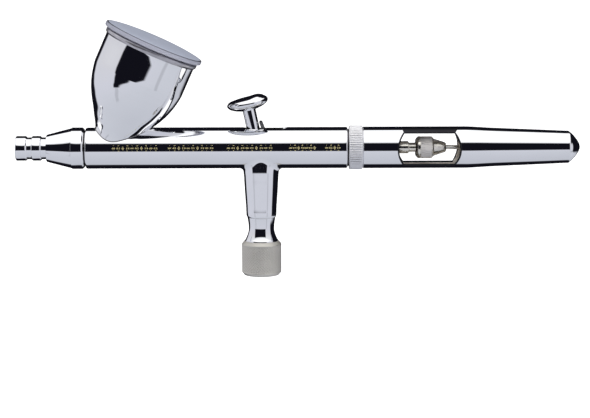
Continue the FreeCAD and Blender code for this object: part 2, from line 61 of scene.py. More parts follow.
def metal(name, color, rough, spread=0.03, grain=900.0, bump=0.02, tint=0.04, stretch=(1, 1, 1), blotch=60.0):
    """Metal with a fine uneven polish: grain in the roughness, a soft cast in the colour and a slight relief."""
    m, nt, sh = new_material(name)
    sh.inputs["Metallic"].default_value = 1.0
    co = nt.nodes.new("ShaderNodeTexCoord")
    mp = nt.nodes.new("ShaderNodeMapping")
    mp.inputs["Scale"].default_value = stretch
    nt.links.new(co.outputs["Object"], mp.inputs[0])
    n1 = nt.nodes.new("ShaderNodeTexNoise")
    n1.inputs["Scale"].default_value = grain
    n1.inputs["Detail"].default_value = 4
    nt.links.new(mp.outputs[0], n1.inputs["Vector"])
    mr = nt.nodes.new("ShaderNodeMapRange")
    mr.inputs["To Min"].default_value = max(0.0, rough - spread)
    mr.inputs["To Max"].default_value = rough + spread
    nt.links.new(n1.outputs[0], mr.inputs["Value"])
    nt.links.new(mr.outputs[0], sh.inputs["Roughness"])
    n2 = nt.nodes.new("ShaderNodeTexNoise")
    n2.inputs["Scale"].default_value = blotch
    n2.inputs["Detail"].default_value = 3
    nt.links.new(co.outputs["Object"], n2.inputs["Vector"])
    ramp = nt.nodes.new("ShaderNodeValToRGB")
    ramp.color_ramp.elements[0].position = 0.3
    ramp.color_ramp.elements[1].position = 0.7
    ramp.color_ramp.elements[0].color = [c * (1 - tint) for c in color] + [1]
    ramp.color_ramp.elements[1].color = [min(1.0, c * (1 + tint * 0.5)) for c in color] + [1]
    nt.links.new(n2.outputs[0], ramp.inputs[0])
    nt.links.new(ramp.outputs[0], sh.inputs["Base Color"])
    if bump > 0:
        bp = nt.nodes.new("ShaderNodeBump")
        bp.inputs["Strength"].default_value = bump
        bp.inputs["Distance"].default_value = 0.00004
        nt.links.new(n1.outputs[0], bp.inputs["Height"])
        nt.links.new(bp.outputs[0], sh.inputs["Normal"])
    return m


def plastic(name, color, rough, transmission=0.0, grain=700.0, tint=0.05, coat=0.0, sss=0.0):
    m, nt, sh = new_material(name)
    co = nt.nodes.new("ShaderNodeTexCoord")
    n1 = nt.nodes.new("ShaderNodeTexNoise")
    n1.inputs["Scale"].default_value = grain
    n1.inputs["Detail"].default_value = 5
    nt.links.new(co.outputs["Object"], n1.inputs["Vector"])
    mr = nt.nodes.new("ShaderNodeMapRange")
    mr.inputs["To Min"].default_value = rough * 0.8
    mr.inputs["To Max"].default_value = min(1.0, rough * 1.2)
    nt.links.new(n1.outputs[0], mr.inputs["Value"])
    nt.links.new(mr.outputs[0], sh.inputs["Roughness"])
    n2 = nt.nodes.new("ShaderNodeTexNoise")
    n2.inputs["Scale"].default_value = 120.0
    nt.links.new(co.outputs["Object"], n2.inputs["Vector"])
    ramp = nt.nodes.new("ShaderNodeValToRGB")
    ramp.color_ramp.elements[0].color = [c * (1 - tint) for c in color] + [1]
    ramp.color_ramp.elements[1].color = [min(1.0, c * (1 + tint)) for c in color] + [1]
    nt.links.new(n2.outputs[0], ramp.inputs[0])
    nt.links.new(ramp.outputs[0], sh.inputs["Base Color"])
    bp = nt.nodes.new("ShaderNodeBump")
    bp.inputs["Strength"].default_value = 0.12
    bp.inputs["Distance"].default_value = 0.00005
    nt.links.new(n1.outputs[0], bp.inputs["Height"])
    nt.links.new(bp.outputs[0], sh.inputs["Normal"])
    if transmission:
        sh.inputs["Transmission Weight"].default_value = transmission
        sh.inputs["IOR"].default_value = 1.45
    if sss:
        sh.inputs["Subsurface Weight"].default_value = sss
        sh.inputs["Subsurface Scale"].default_value = 0.002
    return m


CHROME = metal("chrome_polish", (0.90, 0.905, 0.925), 0.045, 0.015, 700, 0.012, 0.02)
CHROME_SOFT = metal("chrome_satin", (0.97, 0.965, 0.985), 0.5, 0.08, 900, 0.05, 0.03)
# near-black metal for the hollows (spring case, bore ends, groove behind the nozzle cap): painted shade
RECESS_SHADE = metal("recess_painted_shade", (0.075, 0.07, 0.075), 0.42, 0.08, 900, 0.05, 0.2)
LIP = metal("lip_brushed", (0.60, 0.585, 0.62), 0.3, 0.1, 500, 0.08, 0.22, stretch=(1, 1, 30), blotch=260)
INNER = metal("bore_satin", (0.97, 0.93, 0.87), 0.7, 0.08, 700, 0.05, 0.05)
NICKEL = metal("nickel_warm", (0.84, 0.81, 0.74), 0.2, 0.05, 900, 0.04, 0.06)
NEEDLE = metal("needle_steel", (0.80, 0.78, 0.73), 0.16, 0.05, 800, 0.03, 0.05, stretch=(1, 14, 14))
SATIN = metal("knurl_nickel", (0.80, 0.775, 0.715), 0.55, 0.1, 1400, 0.3, 0.12, stretch=(1, 1, 3))
BRASS = metal("turned_brass", (0.80, 0.62, 0.34), 0.24, 0.06, 700, 0.03, 0.06)
STEEL = metal("spring_steel", (0.66, 0.66, 0.66), 0.25, 0.06, 700, 0.03, 0.05)
GOLD = metal("gold_fill", (0.98, 0.86, 0.46), 0.55, 0.06, 900, 0.03, 0.10)
LID = plastic("lid_frosted", (0.56, 0.60, 0.72), 0.42, 0.30)
PTFE = plastic("seal_white", (0.85, 0.85, 0.83), 0.5)
RUBBER = plastic("seal_black", (0.03, 0.03, 0.03), 0.6)

LOOK = {"chrome": CHROME, "lid_plastic": LID, "brass": BRASS, "ptfe": PTFE, "steel": STEEL,
        "nickel": NICKEL, "satin_nickel": SATIN, "seal_rubber": RUBBER}
slot_of = {s["node"]: s["material_slot"] for s in frame["record"]["subparts"]}
for n, o in NODES.items():
    o.data.materials.clear()
    o.data.materials.append(LOOK[slot_of[n]])
NODES["handle_ring"].data.materials[0] = CHROME_SOFT
NODES["needle"].data.materials[0] = NEEDLE
# the spring case inside the handle gets the near-black metal: painted shade
NODES["spring_case"].data.materials[0] = RECESS_SHADE


# ------------------------------------------------------------------ mesh helpers
def finish_mesh(name, bm, body, material, sharp=32.0, replaces=()):
    me = bpy.data.meshes.new(name)
    bmesh.ops.recalc_face_normals(bm, faces=bm.faces)
    bm.to_mesh(me)
    bm.free()
    for p in me.polygons:
        p.use_smooth = True
    me.set_sharp_from_angle(angle=math.radians(sharp))
    me.materials.append(material)
    o = bpy.data.objects.new(name, me)
    bpy.context.scene.collection.objects.link(o)
    if body:
        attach(o, body)
        if replaces:
            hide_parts(*replaces)
    return o


def smooth_line(points, steps=5):
    """Catmull-Rom through the points."""
    out = []
    for i in range(len(points) - 1):
        p0 = points[max(i - 1, 0)]
        p1, p2 = points[i], points[i + 1]
        p3 = points[min(i + 2, len(points) - 1)]
        for k in range(steps):
            u = k / steps
            out.append(tuple(0.5 * ((2 * b) + (-a + c) * u + (2 * a - 5 * b + 4 * c - d) * u * u
                                    + (-a + 3 * b - 3 * c + d) * u ** 3)
                             for a, b, c, d in zip(p0, p1, p2, p3)))
    out.append(tuple(points[-1]))
    return out


def place(about, base=(0, 0, AXIS), lean=0.0):
    """From a lathe's own axis (local Z) to the row frame, in mm."""
    turn = Matrix.Rotation(math.radians(90), 4, "Y") if about == "X" else Matrix.Rotation(math.radians(lean), 4, "Y")
    return Matrix.Scale(MM, 4) @ Matrix.Translation(Vector(base)) @ turn


def lathe(bm, profile, matrix, seg=None, closed=True, warp=None):
    """Turns (along, radius) points about the local Z axis."""
    seg = seg or SEG
    rings = []
    for along, r in profile:
        if r < 1e-6:
            rings.append([bm.verts.new(matrix @ Vector((0, 0, along)))])
            continue
        ring = []
        for k in range(seg):
            t = 2 * math.pi * k / seg
            rr, aa = (r, along) if warp is None else warp(t, r, along)
            ring.append(bm.verts.new(matrix @ Vector((rr * math.cos(t), rr * math.sin(t), aa))))
        rings.append(ring)
    pairs = list(zip(rings, rings[1:]))
    if closed and len(rings[0]) > 1 and len(rings[-1]) > 1:
        pairs.append((rings[-1], rings[0]))
    for a, b in pairs:
        for k in range(seg):
            j = (k + 1) % seg
            if len(a) == 1 and len(b) == 1:
                continue
            if len(a) == 1:
                bm.faces.new((a[0], b[k], b[j]))
            elif len(b) == 1:
                bm.faces.new((a[k], b[0], a[j]))
            else:
                bm.faces.new((a[k], b[k], b[j], a[j]))


def stretch(points, step):
    """Adds points along the long straight runs of a profile."""
    out = []
    for a, b in zip(points, points[1:]):
        n = max(1, int(math.hypot(b[0] - a[0], b[1] - a[1]) / step))
        for k in range(n):
            out.append((a[0] + (b[0] - a[0]) * k / n, a[1] + (b[1] - a[1]) * k / n))
    out.append(points[-1])
    return out


def turned(name, profile, body, material, about="X", base=(0, 0, AXIS), lean=0.0, replaces=(), sharp=32.0, seg=None):
    bm = bmesh.new()
    lathe(bm, profile, place(about, base, lean), seg)
    return finish_mesh(name, bm, body, material, sharp, replaces)


def cut_with(target, cutters):
    """Takes the cutters' shapes out of the target's mesh, for good."""
    for c in cutters:
        m = target.modifiers.new("cut", "BOOLEAN")
        m.operation = "DIFFERENCE"
        m.solver = "EXACT"
        m.object = c
    bpy.context.view_layer.update()
    dg = bpy.context.evaluated_depsgraph_get()
    me = bpy.data.meshes.new_from_object(target.evaluated_get(dg))
    old = target.data
    target.modifiers.clear()
    target.data = me
    bpy.data.meshes.remove(old)
    for c in cutters:
        bpy.data.objects.remove(c)


def repaint(o, material, rule):
    """Gives the faces whose centre (mm, in the row frame) meets the rule another material."""
    o.data.materials.append(material)
    k = len(o.data.materials) - 1
    for p in o.data.polygons:
        c = p.center / MM
        if rule(c.x, c.y, c.z - AXIS):
            p.material_index = k


def cutter(name, profile, matrix, seg=64):
    bm = bmesh.new()
    lathe(bm, profile, matrix, seg)
    return finish_mesh(name, bm, None, CHROME)


def block(name, lo, hi):
    bm = bmesh.new()
    bmesh.ops.create_cube(bm, size=1.0)
    for v in bm.verts:
        for i in range(3):
            v.co[i] = (lo[i] if v.co[i] < 0 else hi[i]) * MM
    return finish_mesh(name, bm, None, CHROME)


# ------------------------------------------------------------------ barrel and air stem
bm = bmesh.new()
lathe(bm, stretch([(-51.04, 0), (-51.04, 5.55), (-50.95, 5.78), (-50.75, 5.93), (-50.5, 6.0), (24.7, 6.0),
                   (24.95, 5.93), (25.12, 5.78), (25.2, 5.55), (25.2, 0)], 0.9), place("X"), closed=False)
barrel = finish_mesh("barrel_shell", bm, None, CHROME)
slot_bm = bmesh.new()
outline = [(5.5 + 2.1 * math.cos(math.radians(a)), 2.1 * math.sin(math.radians(a))) for a in range(-90, 91, 10)]
outline += [(-3.35 + 2.1 * math.cos(math.radians(a)), 2.1 * math.sin(math.radians(a))) for a in range(90, 271, 10)]
low = [slot_bm.verts.new(Vector((x, y, AXIS)) * MM) for x, y in outline]
high = [slot_bm.verts.new(Vector((x, y, AXIS + 9)) * MM) for x, y in outline]
slot_bm.faces.new(low)
slot_bm.faces.new(list(reversed(high)))
for i in range(len(outline)):
    j = (i + 1) % len(outline)
    slot_bm.faces.new((low[i], low[j], high[j], high[i]))
slot_cut = finish_mesh("slot_cut", slot_bm, None, CHROME)
bore_cut = cutter("bore_cut", [(-9, 0), (-9, 3.1), (9, 3.1), (9, 4.6), (27, 4.6), (27, 0)], place("X"), 96)
front_cut = cutter("front_cut", [(-53, 0), (-53, 5.0), (-48.6, 5.0), (-48.6, 1.9), (-36, 1.9), (-36, 0)], place("X"), 96)
well_cut = cutter("well_cut", [(-9.5, 0), (-9.5, 3.3), (0, 3.3), (0, 0)], place("Z"), 96)
throat_cut = cutter("throat_cut", [(0, 0), (0, 2.5), (14, 2.5), (14, 0)], place("Z", (-44.59, 0, AXIS), 24.0), 64)
cut_with(barrel, [slot_cut, bore_cut, front_cut, well_cut, throat_cut])
barrel.data.set_sharp_from_angle(angle=math.radians(32))
# the inner bore faces at both ends of the barrel get the near-black metal: painted shade in the hollows
repaint(barrel, RECESS_SHADE, lambda x, y, z: math.hypot(y, z) < 5.3 and (x > 8.5 or x < -48))
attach(barrel, "frame")

# the stem's own wall with the blend that leaves the barrel
bm = bmesh.new()
rows = []
for k in range(SEG):
    a = 2 * math.pi * k / SEG
    ca, sa = math.cos(a), math.sin(a)
    r = 5.15
    f = min(1.35, 5.82 / max(abs(sa), 1e-6) - r)
    y = r * sa
    corner = -math.sqrt(36.0 - y * y)
    out_z = -math.sqrt(36.0 - ((r + f) * sa) ** 2)
    p2 = Vector(((r + f) * ca, (r + f) * sa, out_z + 0.01))
    p1 = Vector((r * ca, r * sa, corner))
    p0 = Vector((r * ca, r * sa, corner - f))
    row = []
    for u in [i / 8 for i in range(9)]:
        p = p2 * (1 - u) ** 2 + p1 * 2 * u * (1 - u) + p0 * u * u
        row.append(p)
    for z, rr in ((-6.5, 5.15), (-7.1, 5.12), (-8.0, 5.06), (-9.5, 4.98), (-11, 4.90), (-13, 4.78), (-15, 4.65), (-17, 4.5), (-18.6, 4.44),
                  (-19.7, 4.40), (-20.0, 4.35), (-20.25, 4.24), (-20.4, 4.1), (-20.4, 3.9), (-15.0, 3.9)):
        if z < corner - f - 0.2:
            row.append(Vector((rr * ca, rr * sa, z)))
    rows.append(row)
n = min(len(r) for r in rows)
grid = [[bm.verts.new((p + Vector((0, 0, AXIS))) * MM) for p in r[:n]] for r in rows]
for k in range(SEG):
    a, b = grid[k], grid[(k + 1) % SEG]
    for i in range(n - 1):
        bm.faces.new((a[i], a[i + 1], b[i + 1], b[i]))
stem = finish_mesh("air_stem_shell", bm, "frame", CHROME, 38)
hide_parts("body")

turned("air_valve_shell", [(-15.6, 1.3), (-15.6, 3.9), (-20.4, 3.9)] + smooth_line([
    (-20.42, 4.12), (-21.2, 3.98), (-22.0, 3.86), (-22.8, 3.77), (-23.6, 3.72), (-24.3, 3.75), (-25.0, 3.89), (-25.8, 4.14),
    (-26.5, 4.44), (-27.1, 4.75)]) + [(-27.35, 4.85), (-32.3, 4.85), (-32.3, 2.6), (-19.2, 2.6), (-19.2, 1.3)],
    "frame", CHROME, "Z", replaces=("air_valve_body",), sharp=30)

# ------------------------------------------------------------------ knurled inlet adapter
bm = bmesh.new()
KN = 44
def knurl(t, r, along):
    if r < 5.79 or along > -28.55 or along < -36.55:
        return r, along
    u = KN * t / (2 * math.pi)
    w = (along + 37.5) / 0.86
    d1 = abs(((u + w) % 1.0) - 0.5) * 2
    d2 = abs(((u - w) % 1.0) - 0.5) * 2
    edge = min(1.0, (-28.55 - along) / 0.25, (along + 36.55) / 0.25)
    return r - 0.2 * edge * max(d1, d2) ** 1.5, along
walls = [(-27.4, 4.86), (-27.4, 4.95), (-27.5, 5.08)] + stretch([(-27.7, 5.25), (-28.35, 5.78), (-28.5, 5.82), (-36.6, 5.82)], 0.11)
walls += [(-36.75, 5.76), (-37.4, 5.2), (-37.5, 5.1), (-37.5, 4.5), (-37.2, 4.28)]
for i in range(9):
    z = -37.0 + i * 0.44
    walls += [(z, 4.28), (z + 0.11, 4.5), (z + 0.22, 4.5), (z + 0.33, 4.28)]
walls += [(-33.1, 4.28), (-33.1, 4.86)]
lathe(bm, walls, place("Z"), 440, warp=knurl)
finish_mesh("adapter_knurled", bm, "frame", SATIN, 50, ("inlet_adapter",))

# ------------------------------------------------------------------ cup and lid
CUP = (-30.7, 0, AXIS + 31.2)
outer = smooth_line([(-11.7, 13.6), (-13.2, 13.4), (-14.6, 13.14), (-16.0, 12.82), (-18.2, 12.12), (-20.3, 11.2),
                     (-22.2, 10.2), (-24.4, 8.86), (-26.4, 7.75), (-28.45, 6.55), (-29.7, 5.95), (-31.0, 5.5), (-33.8, 4.8)], 5)
inner = smooth_line([(-29.6, 2.5), (-28.4, 4.6), (-26.4, 6.3), (-24.0, 8.0), (-21.8, 9.4), (-19.6, 10.6), (-17.4, 11.5),
                     (-15.2, 12.1), (-12.0, 12.7)], 4)
profile = [(-1.2, 12.8), (-1.2, 13.25), (-1.5, 13.42), (-1.6, 13.5), (-1.62, 13.85), (-1.68, 14.0), (-1.8, 14.1), (-1.95, 14.12),
           (-2.5, 14.07), (-2.65, 14.0), (-2.85, 13.78), (-3.0, 13.64)] + [(-3.4, 13.6), (-5.5, 13.6), (-8.0, 13.6), (-10.2, 13.6)] + outer + [(-33.8, 2.5)] + inner + [(-1.3, 12.7)]
bowl = turned("cup_bowl", profile, "frame", CHROME, "Z", CUP, 24.0, ("paint_cup",), sharp=35)
lean = Vector((math.sin(math.radians(24)), 0, math.cos(math.radians(24))))
def along_cup(x, y, z):
    return (Vector((x, y, z + AXIS)) - Vector(CUP)).dot(lean)
repaint(bowl, LIP, lambda x, y, z: -3.02 < along_cup(x, y, z) < -1.1)

# a thin dark tube where the cup meets the barrel: painted contact shade along the seam
def cup_radius(d):
    pts = [(-28.45, 6.55), (-29.7, 5.95), (-31.0, 5.5), (-33.8, 4.8)]
    outer_pts = [(-24.4, 8.86), (-26.4, 7.75)] + pts
    for (a0, r0), (a1, r1) in zip(outer_pts, outer_pts[1:]):
        if a1 <= d <= a0:
            return r0 + (r1 - r0) * (d - a0) / (a1 - a0)
    return outer_pts[0][1] if d > outer_pts[0][0] else outer_pts[-1][1]
side = Vector((math.cos(math.radians(24)), 0, -math.sin(math.radians(24))))
loop = []
for k in range(120):
    t = 2 * math.pi * k / 120
    best = None
    for i in range(400):
        d = -25.0 - i * 0.022
        r = cup_radius(d)
        p = Vector(CUP) + lean * d + side * (r * math.cos(t)) + Vector((0, r * math.sin(t), 0))
        gap = abs(math.hypot(p.y, p.z - AXIS) - 6.0)
        if best is None or gap < best[0]:
            best = (gap, p)
    loop.append(best[1])
bm = bmesh.new()
def tube(bm, loop, radius, centre, sides=10):
    rings = []
    n = len(loop)
    for i in range(n):
        p = loop[i]
        tangent = (loop[(i + 1) % n] - loop[i - 1]).normalized()
        out = (p - centre(p)).normalized()
        out = (out - tangent * out.dot(tangent)).normalized()
        across = tangent.cross(out)
        rings.append([bm.verts.new((p + (out * math.cos(a) + across * math.sin(a)) * radius) * MM)
                      for a in [2 * math.pi * j / sides for j in range(sides)]])
    for i in range(n):
        a, b = rings[i], rings[(i + 1) % n]
        for j in range(sides):
            bm.faces.new((a[j], a[(j + 1) % sides], b[(j + 1) % sides], b[j]))
tube(bm, loop, 0.14, lambda p: Vector((p.x, 0, AXIS)))
# the tube's dark grey metal is painted shade along the joint
SEAM_SHADE = metal("cup_seam_painted_shade", (0.30, 0.29, 0.30), 0.35, 0.08, 700, 0.1, 0.15)
finish_mesh("cup_seam_painted_shade", bm, "frame", SEAM_SHADE, 80)
lid_profile = [(-0.3, 0.6), (-0.3, 0.7), (-0.55, 11.6), (-0.7, 11.7), (-4.1, 11.9), (-4.2, 12.0), (-4.2, 12.35), (-4.1, 12.45), (-1.17, 12.6),
               (-1.17, 14.6), (-1.1, 14.82), (-0.95, 14.92), (-0.75, 14.94), (-0.3, 14.94), (-0.1, 14.91), (0.03, 14.8), (0.12, 14.65),
               (0.17, 14.4)] + smooth_line([(0.2, 14.2), (0.35, 13.4), (0.57, 11.5), (0.75, 8.0), (0.83, 4.0), (0.85, 0.9)], 4) + [
               (0.8, 0.68), (0.7, 0.6)]
lid = turned("lid_frosted", lid_profile, "lid", LID, "Z", CUP, 24.0, ("cup_lid",), sharp=40)
LID_EDGE = plastic("lid_edge", (0.34, 0.35, 0.42), 0.35, 0.25)
LID_LINE = plastic("lid_line", (0.03, 0.03, 0.045), 0.4)
repaint(lid, LID_EDGE, lambda x, y, z: along_cup(x, y, z) < -0.02)
repaint(lid, LID_LINE, lambda x, y, z: -0.03 < along_cup(x, y, z) < 0.165 and (Vector((x, y, z + AXIS)) - Vector(CUP)).length > 14.35)

# ------------------------------------------------------------------ head
turned("needle_cap_shell", [(-71.45, 2.3), (-71.45, 3.3), (-71.35, 3.5), (-71.15, 3.6), (-68.6, 3.6), (-68.4, 3.52), (-68.24, 3.25),
    (-68.1, 3.2), (-66.95, 3.2), (-66.8, 3.25), (-66.65, 3.52), (-66.45, 3.6), (-64.35, 3.6), (-64.15, 3.52), (-64.05, 3.3),
    (-63.9, 3.2), (-62.55, 3.2), (-62.55, 2.66), (-66.7, 2.66), (-66.7, 2.0), (-70.6, 2.0)],
    "needle_guard", CHROME, replaces=("needle_cap",), sharp=60)
turned("nozzle_cap_shell", [(-66.4, 0.9), (-66.4, 2.3), (-66.1, 2.6), (-62.5, 2.6), (-62.5, 3.8), (-62.42, 3.95), (-62.3, 4.0)]
    + [(-60, 4.62), (-57.5, 5.27), (-55.3, 5.83), (-55.12, 5.9), (-55.08, 6.0), (-54.95, 6.05), (-52.1, 6.05), (-51.9, 5.98), (-51.5, 5.55),
       (-51.5, 5.0), (-48.6, 5.0), (-48.6, 3.3), (-56.5, 3.3), (-63.5, 1.9)],
    "frame", CHROME, replaces=("nozzle_cap",), sharp=28)
# the spigot and shoulder in the groove behind the nozzle cap get the near-black metal: painted shade in the groove
repaint(bpy.data.objects["nozzle_cap_shell"], RECESS_SHADE, lambda x, y, z: x > -51.52 and math.hypot(y, z) < 5.5)

# ------------------------------------------------------------------ handle
bm = bmesh.new()
taper = smooth_line([(58.0, 6.05), (59.7, 6.05), (62.5, 5.93), (66.7, 5.67), (72.55, 5.42), (78.4, 5.175), (84.2, 4.925), (87.1, 4.79), (88.9, 4.72)], 5)
lathe(bm, stretch([(29.58, 5.25), (29.58, 5.75), (29.65, 5.9), (29.8, 6.02), (30.0, 6.05)] + taper
    + [(89.4, 4.72), (89.65, 4.68), (89.75, 4.6), (89.75, 3.0), (82, 3.0), (64, 3.9), (60.5, 4.95), (31, 4.95), (31, 5.25), (29.58, 5.25)], 0.9)[:-1], place("X"))
handle = finish_mesh("handle_shell", bm, None, CHROME)
win = bmesh.new()
wl, wr, wh, we = 41.5, 56.2, 4.67, 7.26
reach = math.sqrt(we * we - wh * wh)
line = []
for i in range(13):
    z = wh - 2 * wh * i / 12
    line.append((wl + reach - math.sqrt(we * we - z * z), z))
for i in range(13):
    z = -wh + 2 * wh * i / 12
    line.append((wr - reach + math.sqrt(we * we - z * z), z))
near = [win.verts.new(Vector((x, -9, AXIS + z)) * MM) for x, z in line]
far = [win.verts.new(Vector((x, 9, AXIS + z)) * MM) for x, z in line]
win.faces.new(near)
win.faces.new(list(reversed(far)))
for i in range(len(line)):
    j = (i + 1) % len(line)
    win.faces.new((near[i], near[j], far[j], far[i]))
window_cut = finish_mesh("window_cut", win, None, CHROME)
cut_with(handle, [window_cut])
handle.data.set_sharp_from_angle(angle=math.radians(30))
repaint(handle, INNER, lambda x, y, z: math.hypot(y, z) < 5.4 and 30 < x < 66)
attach(handle, "rear_handle")
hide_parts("handle")
# dark tubes round the window's cut: painted dark reflection outlining it, not a real rim
# near-black metal for the window's painted outline and painted shade band
SHADE = metal("window_painted_shade_and_reflection", (0.03, 0.03, 0.036), 0.35, 0.06, 900, 0.05, 0.1)
for sign, word in ((-1, "near"), (1, "far")):
    bm = bmesh.new()
    rim = []
    dense = []
    for i in range(25):
        z = wh - 2 * wh * i / 24
        dense.append((wl + reach - math.sqrt(we * we - z * z), z))
    for i in range(1, 16):
        dense.append((wl + (wr - wl) * i / 16, -wh))
    for i in range(25):
        z = -wh + 2 * wh * i / 24
        dense.append((wr - reach + math.sqrt(we * we - z * z), z))
    for i in range(1, 16):
        dense.append((wr + (wl - wr) * i / 16, wh))
    rim = [Vector((x, sign * math.sqrt(5.96 ** 2 - z * z), AXIS + z)) for x, z in dense]
    tube(bm, rim, 0.25, lambda p: Vector((p.x, 0, AXIS)))
    finish_mesh("window_painted_outline_" + word, bm, "rear_handle", SHADE, 80)
# a flat dark patch on the handle above the window, one each side: painted shade standing in for a bevel
for sign, word in ((-1, "near"), (1, "far")):
    bm = bmesh.new()
    grid = []
    for i in range(15):
        phi = math.radians(50.8 + (80.0 - 50.8) * i / 14)
        z = 6.058 * math.sin(phi)
        x0, x1 = 41.4 - 0.35 * (z - 4.7), 56.4 + 0.75 * (z - 4.7)
        grid.append([bm.verts.new(Vector((x0 + (x1 - x0) * j / 24, sign * 6.058 * math.cos(phi), AXIS + z)) * MM) for j in range(25)])
    for ga, gb in zip(grid, grid[1:]):
        for j in range(24):
            bm.faces.new((ga[j], ga[j + 1], gb[j + 1], gb[j]))
    finish_mesh("window_painted_band_" + word, bm, "rear_handle", SHADE, 80)
turned("tail_cap_shell", [(85.0, 0), (85.0, 2.95), (89.75, 2.95), (89.75, 4.5), (89.8, 4.53)] + smooth_line([
    (90.1, 4.3), (90.55, 3.95), (90.95, 3.55), (91.4, 3.05), (91.8, 2.55), (92.2, 2.0), (92.6, 1.35), (92.85, 0.7), (92.97, 0.25)])
    + [(93.0, 0)], "rear_handle", CHROME, replaces=("handle_end_cap",), sharp=35)

bm = bmesh.new()
def flute(t, r, along):
    if r < 6.3:
        return r, along
    u = abs(((56 * t / (2 * math.pi)) % 1.0) - 0.5) * 2
    return r - 0.3 * max(0.0, u - 0.35) ** 1.2, along
lathe(bm, [(25.6, 5.46), (25.6, 6.05), (25.7, 6.2), (25.85, 6.33), (26.05, 6.4), (26.8, 6.4), (27.6, 6.4), (28.4, 6.4), (29.15, 6.4),
           (29.35, 6.33), (29.5, 6.2), (29.58, 6.05), (29.58, 5.46)], place("X"), 560, warp=flute)
finish_mesh("grip_ring", bm, "rear_handle", CHROME_SOFT, 50, ("handle_ring",))

# ------------------------------------------------------------------ chuck nut
bm = bmesh.new()
def nut_teeth(t, r, along):
    if r < 3.05 or along < 46.5 or along > 49.95:
        return r, along
    u = abs(((36 * t / (2 * math.pi)) % 1.0) - 0.5) * 2
    return r - 0.14 * max(0.0, u - 0.3), along
lathe(bm, [(45.0, 1.4), (45.0, 2.35), (45.1, 2.5), (45.6, 3.05), (45.75, 3.16), (45.95, 3.2), (46.35, 3.2), (46.5, 3.12), (46.55, 3.12),
           (46.7, 3.18), (48.0, 3.18), (49.2, 3.18), (49.6, 3.16), (49.9, 3.05), (50.1, 2.75), (50.2, 2.6), (50.3, 2.52), (51.8, 2.02),
           (53.3, 1.54), (53.7, 1.38), (53.9, 1.2), (53.9, 0.64), (47.3, 0.64), (47.2, 1.38)], place("X"), 432, warp=nut_teeth)
nut = finish_mesh("chuck_nut_turned", bm, "chuck", NICKEL, 32, ("chuck_nut",))
BAND = metal("nut_band", (0.99, 0.95, 0.92), 0.6, 0.08, 900, 0.05, 0.05)
repaint(nut, BAND, lambda x, y, z: 46.5 < x < 49.7 and math.hypot(y, z) > 2.9)

# ------------------------------------------------------------------ trigger button
PIV = (0, 0, AXIS - 5)
bm = bmesh.new()
def saddle(t, r, along):
    """The pad's top: hollow for the finger, with a raised brow across its rear half."""
    if along < 19.4 or r > 5.6:
        return r, along
    x, y = r * math.cos(t), r * math.sin(t)
    brow = math.exp(-((x - 3.0) / 1.9) ** 2) * max(0.0, 1 - (y / 6.2) ** 2)
    front = math.exp(-((x + 3.4) / 1.7) ** 2) * max(0.0, 1 - (y / 6.2) ** 2)
    fade = min(1.0, max(0.0, (5.7 - r) / 0.9))
    return r, along + fade * (0.42 * brow - 0.12 * front)
pad = [(18.2, 0), (18.2, 1.4), (16.4, 1.4), (16.4, 1.95)] + smooth_line([(16.42, 2.1), (16.6, 2.9), (16.95, 4.1), (17.45, 5.15), (17.95, 5.75),
       (18.5, 6.04), (19.05, 5.92), (19.5, 5.5), (19.85, 4.8), (20.0, 4.0), (19.98, 3.2), (19.8, 2.2), (19.66, 1.1), (19.6, 0.3)], 5)
pad += [(19.6, 0)]
lathe(bm, pad, place("Z", PIV, -12.0), warp=saddle)
finish_mesh("button_pad", bm, "trigger", CHROME, 45, ("trigger_button",))

# ------------------------------------------------------------------ finer shading for the pieces that stay as they are
def smooth_shading(o, angle=30.0, width=0.0):
    g = bpy.data.node_groups.get("smooth_by_angle") or None
    if g is None:
        g = bpy.data.node_groups.new("smooth_by_angle", "GeometryNodeTree")
        g.interface.new_socket("Geometry", in_out="INPUT", socket_type="NodeSocketGeometry")
        g.interface.new_socket("Geometry", in_out="OUTPUT", socket_type="NodeSocketGeometry")
        gi = g.nodes.new("NodeGroupInput")
        go = g.nodes.new("NodeGroupOutput")
        weld = g.nodes.new("GeometryNodeMergeByDistance")
        weld.inputs["Distance"].default_value = 1e-7
        s1 = g.nodes.new("GeometryNodeSetShadeSmooth")
        s1.domain = "FACE"
        s1.inputs["Shade Smooth"].default_value = True
        s2 = g.nodes.new("GeometryNodeSetShadeSmooth")
        s2.domain = "EDGE"
        s2.inputs["Shade Smooth"].default_value = False
        ang = g.nodes.new("GeometryNodeInputMeshEdgeAngle")
        cmp_ = g.nodes.new("ShaderNodeMath")
        cmp_.operation = "GREATER_THAN"
        cmp_.inputs[1].default_value = math.radians(angle)
        g.links.new(gi.outputs[0], weld.inputs[0])
        g.links.new(weld.outputs[0], s1.inputs["Geometry"])
        g.links.new(s1.outputs[0], s2.inputs["Geometry"])
        g.links.new(ang.outputs[0], cmp_.inputs[0])
        g.links.new(cmp_.outputs[0], s2.inputs["Selection"])
        g.links.new(s2.outputs[0], go.inputs[0])
    m = o.modifiers.new("smooth", "NODES")
    m.node_group = g
for n, o in NODES.items():
    if not o.hide_render:
        smooth_shading(o)

